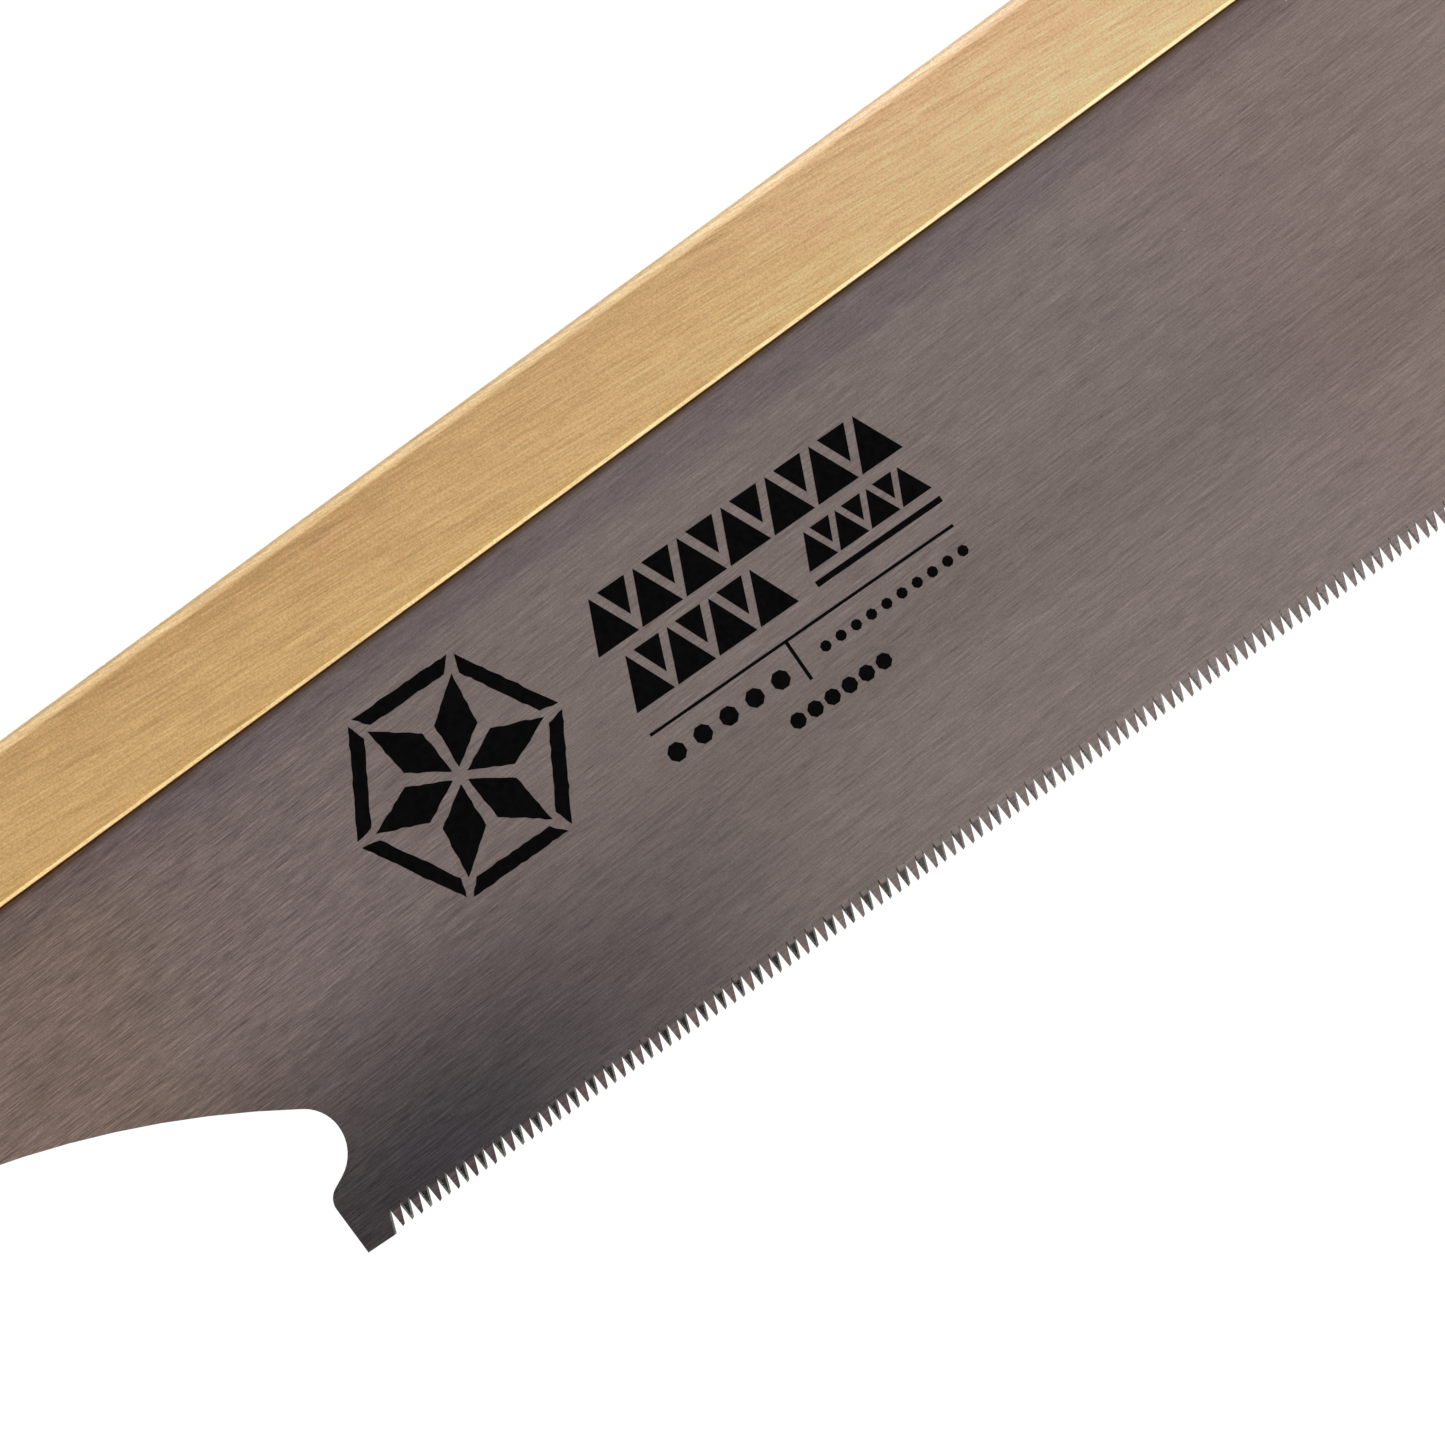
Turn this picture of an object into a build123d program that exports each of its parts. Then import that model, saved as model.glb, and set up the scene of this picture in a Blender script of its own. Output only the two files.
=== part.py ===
from build123d import *
import math
import os

# Dozuki back saw: a 180 mm pull saw with a folded brass back and a cane-wound two-piece handle.
# Frame: origin at the centre of the handle, +X from the handle to the toe, +Z up (back uppermost,
# teeth down), Y across the plate. Blade dimensions are given from the heel and the lip of the back.

# ---- tooth line ----
PITCH = 25.4 / 25
TEETH = 177
TOOTH_LINE_FALL = 2.66          # degrees the tooth line falls away from the back, toward the toe
FIRST_GULLET = (3.9, -43.5)     # from the heel's rear edge, and from the lip of the back
TIP_REAR = (0.17, 1.76)         # tip corners of a tooth, along and out from its rear gullet
TIP_FRONT = (0.46, 1.60)
FLEAM = 0.20                    # how far a gullet wall slants along the plate, through its thickness
SET = 0.10                      # sideways lean of a tooth's tip
HEEL_LAND_OUT = 2.0             # the heel block's foot, out from the gullet line
TOE_LAND = 3.2                  # untoothed plate between the last gullet and the toe
TOE_LAND_OUT = 1.8

# ---- plate ----
PLATE = 0.30
PLATE_INTO_BACK = 9.0
BURIED_TOE_INSET = 1.6          # the part of the plate inside the back stops this much short of the toe
HEEL_EDGE = 4.9                 # straight rear edge of the heel block
HEEL_ROUND = 1.8
HEEL_TURN = 65.3                # degrees turned by the heel's shoulder, and back again by the hook
HEEL_RAMP = 1.21
HOOK_LOWER_R = 4.3
HOOK_UPPER_R = 3.9
HOOK_TURN = 55.1
NECK_R = 91.8
NECK_TURN = 32.4
TANG_DEPTH = 10.0
TANG_CORNER_R = 1.5
TOE_CORNER_R = 2.0

# ---- back ----
BACK_HEIGHT = 12.35
BACK_THICKNESS = 3.4
BACK_ROUND = 1.2
BACK_LIP_BEVEL = 0.4
BACK_EYE_R = 0.5                # open eye left inside the fold
BACK_TOE_STEP = 0.6             # the back stops this much short of the plate's toe
BACK_TOE_R = 3.5
BACK_RIVET_R = 1.0

# ---- handle ----
HANDLE_LENGTH = 215.0
MOUTH_TO_HEEL = 52.0
LIP_ABOVE_AXIS = -2.0           # the back's lip, measured up from the handle's centre line
MOUTH_HALF = (10.4, 16.2)       # half width and half height of the oval at the mouth
BUTT_HALF = (11.8, 17.2)
BUTT_ROUND = 3.0
HANG_HOLE_R = 3.0
HANG_HOLE_FROM_BUTT = 13.0

# ---- receiver and its lock ----
RECEIVER_LENGTH = 62.0
CHEEK = 1.6
BACK_CLEARANCE = 0.05
PLATE_CLEARANCE = 0.05
CHANNEL_HEADROOM = 0.15
BACK_SEAT = 42.0                # how deep the back goes into the receiver
TANG_SHORT = 1.0                # the tang stops this much short of the back's rear end
LOCK_FROM_MOUTH = 27.0
LOCK_BELOW_LIP = 5.0
SCREW_R = 2.0
SCREW_HOLE_R = 2.2
NUT_FIT = 0.04
TANG_SLOT_R = 2.3
SCREW_HEAD_R = 4.2
SCREW_HEAD = 2.8
CUP_R = 5.6
CUP = 1.2
CUP_SEAT_Y = 7.2
SPRING_WASHER_R = 3.8
SPRING_WASHER = 1.0
NUT_SIDE = 7.0
NUT_THICKNESS = 3.2
SCREW_TIP_Y = 7.4
PIN_R = 1.5
PIN_HALF = 7.0
PACKING_RIVET_R = 1.0

# ---- mouth band, cane and dowels ----
BAND_LENGTH = 15.0
BAND = 1.1
NAIL_R = 0.8
NAIL_REACH = 4.5
NAIL_HEAD_R = 1.4
NAIL_HEAD = 0.6
CANE = 1.5
CANE_FROM_MOUTH = 44.0
CANE_FROM_BUTT = 26.0
DOWEL_R = 2.5
DOWEL_HALF = 6.0

# ---- positions worked out from the above ----
MOUTH_X = HANDLE_LENGTH / 2
BUTT_X = -HANDLE_LENGTH / 2
HEEL_X = MOUTH_X + MOUTH_TO_HEEL
TOE_X = HEEL_X + FIRST_GULLET[0] + TEETH * PITCH + TOE_LAND
LIP_Z = LIP_ABOVE_AXIS
BACK_TOP_Z = LIP_Z + BACK_HEIGHT
BACK_REAR_X = MOUTH_X - BACK_SEAT
RECEIVER_REAR_X = MOUTH_X - RECEIVER_LENGTH
CHANNEL_HALF = BACK_THICKNESS / 2 + BACK_CLEARANCE
CHEEK_OUT = CHANNEL_HALF + CHEEK
CHANNEL_TOP_Z = BACK_TOP_Z + CHANNEL_HEADROOM
CHEEK_LOW_Z = LIP_Z - TANG_DEPTH - 0.6
LOCK_X = MOUTH_X - LOCK_FROM_MOUTH
LOCK_Z = LIP_Z - LOCK_BELOW_LIP
STOP_PIN = (BACK_REAR_X - PIN_R, LIP_Z + BACK_HEIGHT / 2)
REAR_PIN = (RECEIVER_REAR_X + 6.0, LIP_Z)
BAND_REAR_X = MOUTH_X - BAND_LENGTH
CANE_FRONT_X = MOUTH_X - CANE_FROM_MOUTH
CANE_REAR_X = BUTT_X + CANE_FROM_BUTT
PACKING_RIVETS = [(MOUTH_X - 8.0, LIP_Z - 5.0), (BACK_REAR_X + 5.0, LIP_Z - 8.4)]
BACK_RIVETS = [MOUTH_X - 12.0, BACK_REAR_X + 9.0]
DOWELS = [CANE_FRONT_X - 30.0, CANE_REAR_X + 20.0]
TOOTH_DIR = Vector(1, 0, 0).rotate(Axis.Y, TOOTH_LINE_FALL)
OUT_DIR = Vector(0, 0, -1).rotate(Axis.Y, TOOTH_LINE_FALL)
GULLET_START = Vector(HEEL_X + FIRST_GULLET[0], 0, LIP_Z + FIRST_GULLET[1])

# A gullet's two walls lean apart. Slanting them by the fleam sinks its floor below the gullet line.
REAR_LEAN = TIP_REAR[0] / TIP_REAR[1]
FRONT_LEAN = (PITCH - TIP_FRONT[0]) / TIP_FRONT[1]
FLOOR = -FLEAM / (REAR_LEAN + FRONT_LEAN)


# ---- helpers ----
def across(radius, x, z, y_low, y_high):
    """A round bar across the saw, from y_low to y_high."""
    bar = Cylinder(radius, y_high - y_low, rotation=(90, 0, 0))
    return Pos(x, (y_low + y_high) / 2, z) * bar


def block(x_low, x_high, y_low, y_high, z_low, z_high):
    centre = Pos((x_low + x_high) / 2, (y_low + y_high) / 2, (z_low + z_high) / 2)
    return centre * Box(x_high - x_low, y_high - y_low, z_high - z_low)


def oval_half(x):
    """Half width and half height of the handle's oval at x."""
    share = (MOUTH_X - x) / HANDLE_LENGTH
    return [m + (b - m) * share for m, b in zip(MOUTH_HALF, BUTT_HALF)]


def oval_face(x, grow=0.0):
    half_width, half_height = oval_half(x)
    plane = Plane(origin=(x, 0, 0), x_dir=(0, 1, 0), z_dir=(1, 0, 0))
    return plane * Ellipse(half_width + grow, half_height + grow)


def oval_bar(x_low, x_high, grow=0.0):
    """The handle's tapering oval between two stations."""
    return loft([oval_face(x_low, grow), oval_face(x_high, grow)], ruled=True)


def save(name, shape):
    shape.label = name
    export_step(shape, f"parts/{name}.step")


# ---- blade ----
def tooth_point(along, out, y):
    """A point of the toothed edge, bent sideways in proportion to its height above the floor."""
    return GULLET_START + TOOTH_DIR * along + OUT_DIR * out + Vector(0, y, 0)


def floor_along(gullet, side):
    """Where the floor of a gullet meets the -Y face (side -1) or the +Y face (side 1)."""
    slant = FLEAM if side * (-1) ** gullet < 0 else 0.0
    return gullet * PITCH - slant - FRONT_LEAN * FLOOR


def floor_points(side):
    return [tooth_point(floor_along(k, side), FLOOR, side * PLATE / 2) for k in range(TEETH + 1)]


def tooth_faces(k, floors):
    """The two faces, two flanks and tip facet of tooth k, wide on one side of the plate."""
    wide = 1 if k % 2 else -1
    lean = SET * wide
    rear = k * PITCH

    def bent(along, out, y):
        return tooth_point(rear + along, out, y + lean * (out - FLOOR) / (TIP_REAR[1] - FLOOR))

    peak_out = (PITCH - 2 * FLEAM) / (REAR_LEAN + FRONT_LEAN)
    tip_rear = bent(*TIP_REAR, wide * PLATE / 2)
    tip_front = bent(*TIP_FRONT, wide * PLATE / 2)
    peak = bent(FLEAM + REAR_LEAN * peak_out, peak_out, -wide * PLATE / 2)
    wide_rear, wide_front = floors[wide][k], floors[wide][k + 1]
    thin_rear, thin_front = floors[-wide][k], floors[-wide][k + 1]
    outlines = [
        [wide_rear, tip_rear, tip_front, wide_front],
        [thin_rear, peak, thin_front],
        [wide_rear, tip_rear, peak, thin_rear],
        [wide_front, tip_front, peak, thin_front],
        [tip_rear, tip_front, peak],
    ]
    return [Face(Wire.make_polygon(points, close=True)) for points in outlines]


def heel_and_neck(start):
    """The plate's rear outline, from the heel's lower corner up to the tang's slot."""
    up = Line(start, start + Vector(0, HEEL_EDGE))
    shoulder = JernArc(up @ 1, (0, 1), HEEL_ROUND, -HEEL_TURN)
    ramp = Line(shoulder @ 1, shoulder @ 1 + (shoulder % 1) * HEEL_RAMP)
    hook_low = JernArc(ramp @ 1, ramp % 1, HOOK_LOWER_R, HEEL_TURN)
    hook_high = JernArc(hook_low @ 1, hook_low % 1, HOOK_UPPER_R, HOOK_TURN)
    neck = JernArc(hook_high @ 1, hook_high % 1, NECK_R, NECK_TURN)
    heading = math.degrees(math.atan2((neck % 1).Y, (neck % 1).X))
    stop = JernArc(neck @ 1, neck % 1, TANG_CORNER_R, 90 - heading)
    tang_low = LIP_Z - TANG_DEPTH
    rise = Line(stop @ 1, Vector((stop @ 1).X, tang_low - TANG_CORNER_R))
    corner = JernArc(rise @ 1, (0, 1), TANG_CORNER_R, 90)
    tang_rear = BACK_REAR_X + TANG_SHORT
    slot_low = LOCK_Z - TANG_SLOT_R
    slot_high = LOCK_Z + TANG_SLOT_R
    tang = Polyline(corner @ 1, (tang_rear, tang_low), (tang_rear, slot_low), (LOCK_X, slot_low))
    slot_end = ThreePointArc(tang @ 1, (LOCK_X + TANG_SLOT_R, LOCK_Z), (LOCK_X, slot_high))
    rear = Polyline(slot_end @ 1, (tang_rear, slot_high), (tang_rear, LIP_Z + PLATE_INTO_BACK))
    return [up, shoulder, ramp, hook_low, hook_high, neck, stop, rise, corner, tang, slot_end, rear]


def land_point(x, out):
    """Point at x on the line that runs a distance out from the gullet line, seen from the side."""
    along = (x - GULLET_START.X - OUT_DIR.X * out) / TOOTH_DIR.X
    point = GULLET_START + TOOTH_DIR * along + OUT_DIR * out
    return Vector(point.X, point.Z)


def plate_outline(toe_x):
    """The plate's outline without its tooth line: heel, neck, tang, buried top edge and toe."""
    rear = heel_and_neck(land_point(HEEL_X, HEEL_LAND_OUT))
    inside_x = toe_x - BURIED_TOE_INSET
    top = Polyline(rear[-1] @ 1, (inside_x, LIP_Z + PLATE_INTO_BACK), (inside_x, LIP_Z), (toe_x, LIP_Z))
    setback = TOE_CORNER_R / math.tan(math.radians((90 - TOOTH_LINE_FALL) / 2))
    front = Line(top @ 1, land_point(toe_x, TOE_LAND_OUT) + Vector(0, setback))
    corner = JernArc(front @ 1, (0, -1), TOE_CORNER_R, -(90 + TOOTH_LINE_FALL))
    return rear + [top, front, corner]


def blade():
    """One closed shell: two flat sides, the outline's edge and the teeth's own faces."""
    floors = {side: floor_points(side) for side in (-1, 1)}
    outline = plate_outline(TOE_X)
    upright = Plane(origin=(0, 0, 0), x_dir=(1, 0, 0), z_dir=(0, -1, 0))
    placed = {}
    loops = {}
    for side in (-1, 1):
        edges = [upright.offset(-side * PLATE / 2) * edge for line in outline for edge in line.edges()]
        heel_slant = FLEAM if side < 0 else 0.0
        toe_slant = FLEAM if side * (-1) ** TEETH > 0 else 0.0
        heel_foot_along = -heel_slant - FRONT_LEAN * HEEL_LAND_OUT
        toe_foot_along = TEETH * PITCH + toe_slant + REAR_LEAN * TOE_LAND_OUT
        heel_foot = tooth_point(heel_foot_along, HEEL_LAND_OUT, side * PLATE / 2)
        toe_foot = tooth_point(toe_foot_along, TOE_LAND_OUT, side * PLATE / 2)
        start = edges[0] @ 0
        end = edges[-1] @ 1
        comb = [start, heel_foot] + floors[side] + [toe_foot, end]
        loops[side] = comb
        placed[side] = edges + [Edge.make_line(a, b) for a, b in zip(comb, comb[1:])]
    faces = [Face(Wire(placed[side])) for side in (-1, 1)]
    thickness = Vector(0, PLATE, 0)
    for edge in placed[-1][:-len(loops[-1]) + 1]:
        faces.append(Face.extrude(edge, thickness))
    near, far = loops[-1], loops[1]
    for k in (0, 1, TEETH + 2, TEETH + 3):
        faces.append(Face(Wire.make_polygon([near[k], near[k + 1], far[k + 1], far[k]], close=True)))
    for k in range(TEETH):
        faces += tooth_faces(k, floors)
    return Solid(Shell(faces))


# ---- back ----
def back_section():
    """The folded strip's section: round shoulders, bevelled lips, a slot and an eye in the fold."""
    outer = Pos(0, BACK_HEIGHT / 2) * Rectangle(BACK_THICKNESS, BACK_HEIGHT)
    outer = fillet(outer.vertices().group_by(Axis.Y)[-1], BACK_ROUND)
    outer = chamfer(outer.vertices().group_by(Axis.Y)[0], BACK_LIP_BEVEL)
    slot = Pos(0, PLATE_INTO_BACK / 2) * Rectangle(PLATE, PLATE_INTO_BACK)
    eye = Pos(0, PLATE_INTO_BACK + BACK_EYE_R * 0.8) * Circle(BACK_EYE_R)
    return outer - slot - eye


def brass_back():
    toe_x = TOE_X - BACK_TOE_STEP
    plane = Plane(origin=(BACK_REAR_X, 0, LIP_Z), x_dir=(0, 1, 0), z_dir=(1, 0, 0))
    bar = extrude(plane * back_section(), toe_x - BACK_REAR_X)
    corner = block(toe_x - BACK_TOE_R, toe_x, -5, 5, BACK_TOP_Z - BACK_TOE_R, BACK_TOP_Z)
    corner -= across(BACK_TOE_R, toe_x - BACK_TOE_R, BACK_TOP_Z - BACK_TOE_R, -6, 6)
    bar -= corner
    for x in BACK_RIVETS:
        bar -= across(BACK_RIVET_R, x, LIP_Z + PLATE_INTO_BACK / 2, -5, 5)
    return bar


def back_rivets():
    half = BACK_THICKNESS / 2
    return [across(BACK_RIVET_R, x, LIP_Z + PLATE_INTO_BACK / 2, -half, half) for x in BACK_RIVETS]


# ---- receiver ----
def receiver():
    """Folded steel channel: closed over the back, open below, its two cheeks drilled across."""
    plane = Plane(origin=(RECEIVER_REAR_X, 0, 0), x_dir=(0, 1, 0), z_dir=(1, 0, 0))
    top = CHANNEL_TOP_Z + CHEEK
    outer = Pos(0, (top + CHEEK_LOW_Z) / 2) * Rectangle(2 * CHEEK_OUT, top - CHEEK_LOW_Z)
    outer = fillet(outer.vertices().group_by(Axis.Y)[-1], CHEEK)
    inner_height = CHANNEL_TOP_Z - CHEEK_LOW_Z
    inner = Pos(0, CHEEK_LOW_Z + inner_height / 2) * Rectangle(2 * CHANNEL_HALF, inner_height)
    channel = extrude(plane * (outer - inner), RECEIVER_LENGTH)
    channel -= across(SCREW_HOLE_R, LOCK_X, LOCK_Z, -9, 9)
    for x, z in (STOP_PIN, REAR_PIN):
        channel -= across(PIN_R, x, z, -9, 9)
    for x, z in PACKING_RIVETS:
        channel -= across(PACKING_RIVET_R, x, z, -9, 9)
    return channel


def packing(side):
    """Strip that fills a cheek out to the plate, under the back."""
    near = PLATE / 2 + PLATE_CLEARANCE
    ys = sorted((side * near, side * CHANNEL_HALF))
    strip = block(BACK_REAR_X + 1, MOUTH_X - 0.5, *ys, CHEEK_LOW_Z, LIP_Z - 0.3)
    strip -= across(SCREW_HOLE_R, LOCK_X, LOCK_Z, -9, 9)
    for x, z in PACKING_RIVETS:
        strip -= across(PACKING_RIVET_R, x, z, -9, 9)
    return strip


def packing_rivets():
    near = PLATE / 2 + PLATE_CLEARANCE
    spans = [(-CHEEK_OUT, -near), (near, CHEEK_OUT)]
    return [across(PACKING_RIVET_R, x, z, *span) for x, z in PACKING_RIVETS for span in spans]


def receiver_pins():
    return [across(PIN_R, x, z, -PIN_HALF, PIN_HALF) for x, z in (STOP_PIN, REAR_PIN)]


# ---- lock screw ----
def ring(outer_r, inner_r, y_low, y_high):
    outside = across(outer_r, LOCK_X, LOCK_Z, y_low, y_high)
    return outside - across(inner_r, LOCK_X, LOCK_Z, y_low - 1, y_high + 1)


def screw_cup():
    """Turned seat in the wood that spreads the screw head's load."""
    cup = ring(CUP_R, SCREW_HOLE_R, -CUP_SEAT_Y - CUP, -CUP_SEAT_Y)
    rim = cup.edges().filter_by(GeomType.CIRCLE).group_by(Axis.Y)[0].sort_by(SortBy.RADIUS)[-1]
    return fillet(rim, 0.5)


def spring_washer():
    front = -CUP_SEAT_Y - CUP
    washer = ring(SPRING_WASHER_R, SCREW_HOLE_R, front - SPRING_WASHER, front)
    split = Pos(LOCK_X, front, LOCK_Z + SPRING_WASHER_R) * Box(0.8, 4, 6, rotation=(0, 0, 25))
    return washer - split


def lock_screw():
    """Pan-head screw with a cross recess; its axis runs along Y."""
    seat = -CUP_SEAT_Y - CUP - SPRING_WASHER
    head = across(SCREW_HEAD_R, LOCK_X, LOCK_Z, seat - SCREW_HEAD, seat)
    rim = head.edges().filter_by(GeomType.CIRCLE).group_by(Axis.Y)[0]
    head = fillet(rim, 1.3)
    shank = across(SCREW_R, LOCK_X, LOCK_Z, seat, SCREW_TIP_Y)
    tip = shank.edges().filter_by(GeomType.CIRCLE).group_by(Axis.Y)[-1]
    screw = head + chamfer(tip, 0.5)
    for turn in (0, 90):
        groove = Pos(LOCK_X, seat - SCREW_HEAD, LOCK_Z) * Box(4.4, 3.2, 0.9, rotation=(0, turn, 0))
        screw -= groove
    return screw


def lock_nut():
    nut = block(LOCK_X - NUT_SIDE / 2, LOCK_X + NUT_SIDE / 2, CHEEK_OUT, CHEEK_OUT + NUT_THICKNESS,
                LOCK_Z - NUT_SIDE / 2, LOCK_Z + NUT_SIDE / 2)
    nut = chamfer(nut.edges().filter_by(Axis.Y), 0.5)
    return nut - across(SCREW_R + NUT_FIT, LOCK_X, LOCK_Z, 0, 9)


# ---- handle ----
def receiver_room():
    """The sawn room for the channel: its outside, filled, plus the space between the cheeks."""
    top = CHANNEL_TOP_Z + CHEEK
    room = block(RECEIVER_REAR_X, MOUTH_X + 1, -CHEEK_OUT, CHEEK_OUT, CHEEK_LOW_Z, top)
    return fillet(room.edges().filter_by(Axis.X).group_by(Axis.Z)[-1], CHEEK)


def handle_wood():
    """The whole oval with its nose turned down for the mouth band."""
    wood = oval_bar(BUTT_X, BAND_REAR_X)
    butt = wood.faces().sort_by(Axis.X)[0]
    wood = fillet(butt.edges(), BUTT_ROUND)
    nose = extrude(oval_face(BAND_REAR_X, -BAND), BAND_LENGTH)
    return wood + nose - receiver_room()


def handle_bores():
    """Every hole across the wood."""
    bores = across(SCREW_HOLE_R, LOCK_X, LOCK_Z, -15, SCREW_TIP_Y + 0.6)
    bores += across(CUP_R, LOCK_X, LOCK_Z, -15, -CUP_SEAT_Y)
    bores += block(LOCK_X - NUT_SIDE / 2, LOCK_X + NUT_SIDE / 2, 0, CHEEK_OUT + NUT_THICKNESS,
                   LOCK_Z - NUT_SIDE / 2, LOCK_Z + NUT_SIDE / 2)
    bores += across(HANG_HOLE_R, BUTT_X + HANG_HOLE_FROM_BUTT, 0, -15, 15)
    for x, z in (STOP_PIN, REAR_PIN):
        bores += across(PIN_R, x, z, -PIN_HALF, PIN_HALF)
    for x in DOWELS:
        bores += across(DOWEL_R, x, 0, -DOWEL_HALF, DOWEL_HALF)
    return bores


def handle_half(wood, side):
    ys = sorted((0, side * 30))
    half = wood & block(BUTT_X - 5, MOUTH_X + 5, *ys, -40, 40)
    return half.solids().sort_by(SortBy.VOLUME)[-1]


def handle_dowels():
    return [across(DOWEL_R, x, 0, -DOWEL_HALF, DOWEL_HALF) for x in DOWELS]


# ---- mouth band and cane ----
def nail_spots():
    """Nail positions: one each side of the band, outside surface and way out."""
    half_width = oval_half(BAND_REAR_X)[0]
    return [(side, side * half_width) for side in (-1, 1)]


def nail(side, surface):
    x = MOUTH_X - BAND_LENGTH / 2
    shank = across(NAIL_R, x, 0, *sorted((surface - side * NAIL_REACH, surface + side * NAIL_HEAD / 2)))
    head = across(NAIL_HEAD_R, x, 0, *sorted((surface, surface + side * NAIL_HEAD)))
    return shank + head


def band_nails():
    return [nail(side, surface) for side, surface in nail_spots()]


def mouth_band():
    """Drawn oval band over the wood's nose."""
    band = extrude(oval_face(BAND_REAR_X) - oval_face(BAND_REAR_X, -BAND), BAND_LENGTH)
    front = band.faces().sort_by(Axis.X)[-1]
    rim = front.edges().sort_by(Edge.length.fget)[-1]
    return fillet(rim, 0.5)


def cane_wrap(wood_bar):
    """Outer shape of the wound cane, a sleeve on the wood."""
    sleeve = oval_bar(CANE_REAR_X, CANE_FRONT_X, CANE)
    ends = sleeve.faces().filter_by(Plane.YZ)
    sleeve = fillet(ends.edges(), 0.8)
    return sleeve - wood_bar


# ---- the saw ----
os.makedirs("parts", exist_ok=True)

blank = handle_wood()
for nail_solid in band_nails():
    blank -= nail_solid
bored = blank - handle_bores()
band = mouth_band()
for nail_solid in band_nails():
    band -= nail_solid
plate = blade()
for rivet in back_rivets():
    plate -= rivet

save("blade", plate)
save("brass_back", brass_back())
save("back_rivets", Compound(children=back_rivets()))
save("receiver", receiver())
save("packing_left", packing(1))
save("packing_right", packing(-1))
save("packing_rivets", Compound(children=packing_rivets()))
save("receiver_pins", Compound(children=receiver_pins()))
save("lock_screw", lock_screw())
save("spring_washer", spring_washer())
save("screw_cup", screw_cup())
save("lock_nut", lock_nut())
save("handle_left", handle_half(bored, 1))
save("handle_right", handle_half(bored, -1))
save("handle_dowels", Compound(children=handle_dowels()))
save("mouth_band", band)
save("band_nails", Compound(children=band_nails()))
save("cane_wrap", cane_wrap(oval_bar(BUTT_X, BAND_REAR_X)))
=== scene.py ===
import math
import random

import bpy
from mathutils import Matrix, Vector


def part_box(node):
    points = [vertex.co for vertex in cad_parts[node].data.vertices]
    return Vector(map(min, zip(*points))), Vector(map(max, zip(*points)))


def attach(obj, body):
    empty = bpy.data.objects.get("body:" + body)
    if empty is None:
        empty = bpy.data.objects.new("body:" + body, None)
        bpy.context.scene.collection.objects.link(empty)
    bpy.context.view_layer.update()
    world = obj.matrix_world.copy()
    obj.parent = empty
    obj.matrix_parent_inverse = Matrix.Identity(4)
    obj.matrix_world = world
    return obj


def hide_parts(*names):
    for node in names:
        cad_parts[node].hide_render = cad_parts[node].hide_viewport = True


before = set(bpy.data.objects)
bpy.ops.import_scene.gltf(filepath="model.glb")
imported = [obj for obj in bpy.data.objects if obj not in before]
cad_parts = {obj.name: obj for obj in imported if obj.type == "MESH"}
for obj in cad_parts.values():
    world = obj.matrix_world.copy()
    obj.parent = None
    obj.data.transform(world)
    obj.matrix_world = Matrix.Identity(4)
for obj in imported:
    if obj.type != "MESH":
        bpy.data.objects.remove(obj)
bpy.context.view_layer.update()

MM = 0.001

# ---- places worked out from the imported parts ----
BACK_LOW, BACK_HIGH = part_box("brass_back")
CANE_LOW, CANE_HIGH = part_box("cane_wrap")
BAND_LOW, BAND_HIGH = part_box("mouth_band")
LIP_Z = BACK_LOW.z
TOP_Z = BACK_HIGH.z
TOE_X = BACK_HIGH.x
HEEL_X = TOE_X - 186.3 * MM     # rear edge of the plate's heel

# ---- sizes of the plate ----
PLATE_FACE_Y = -0.15 * MM       # the face that carries the mark
FIRST_TOOTH = 3.9 * MM          # from the heel to the first tooth
TOOTH_ROOT_DROP = 43.5 * MM     # from the back's lip down to the root of the first tooth
TOOTH_LINE_SLOPE = math.tan(math.radians(2.66))

# ---- sizes of the wound cane ----
CANE_STRIP = 3.9 * MM
CANE_PITCH = 4.0 * MM
CANE_THICK = 1.3 * MM
CANE_SKIN = 1.5 * MM            # from the wood to the outside of the cane
CANE_TUCK = 0.1 * MM            # how far the strip is let into the wood
CANE_EDGE = 0.35                # share of its thickness that the strip keeps at its edges and ends
CANE_TAPER = 0.35               # turns over which each end of the strip narrows
CANE_STEPS = 60                 # sections in each turn
CANE_PROFILE = 9                # faces across the strip's rounded top
CANE_RING = CANE_PROFILE + 3    # points in one section of the strip
STRIP_TOP = CANE_PROFILE / CANE_RING

# ---- sizes of the mark printed on the plate ----
INK = 0.015 * MM
MARK_TURN = -1.6                # degrees the mark leans from the back
MARK_PIVOT = (50.0, -16.0)      # where it turns, in mm from the heel and the lip


def even(value):
    """The same number three times: a grey, or a scale that is equal along every axis."""
    return (value, value, value)


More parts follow.
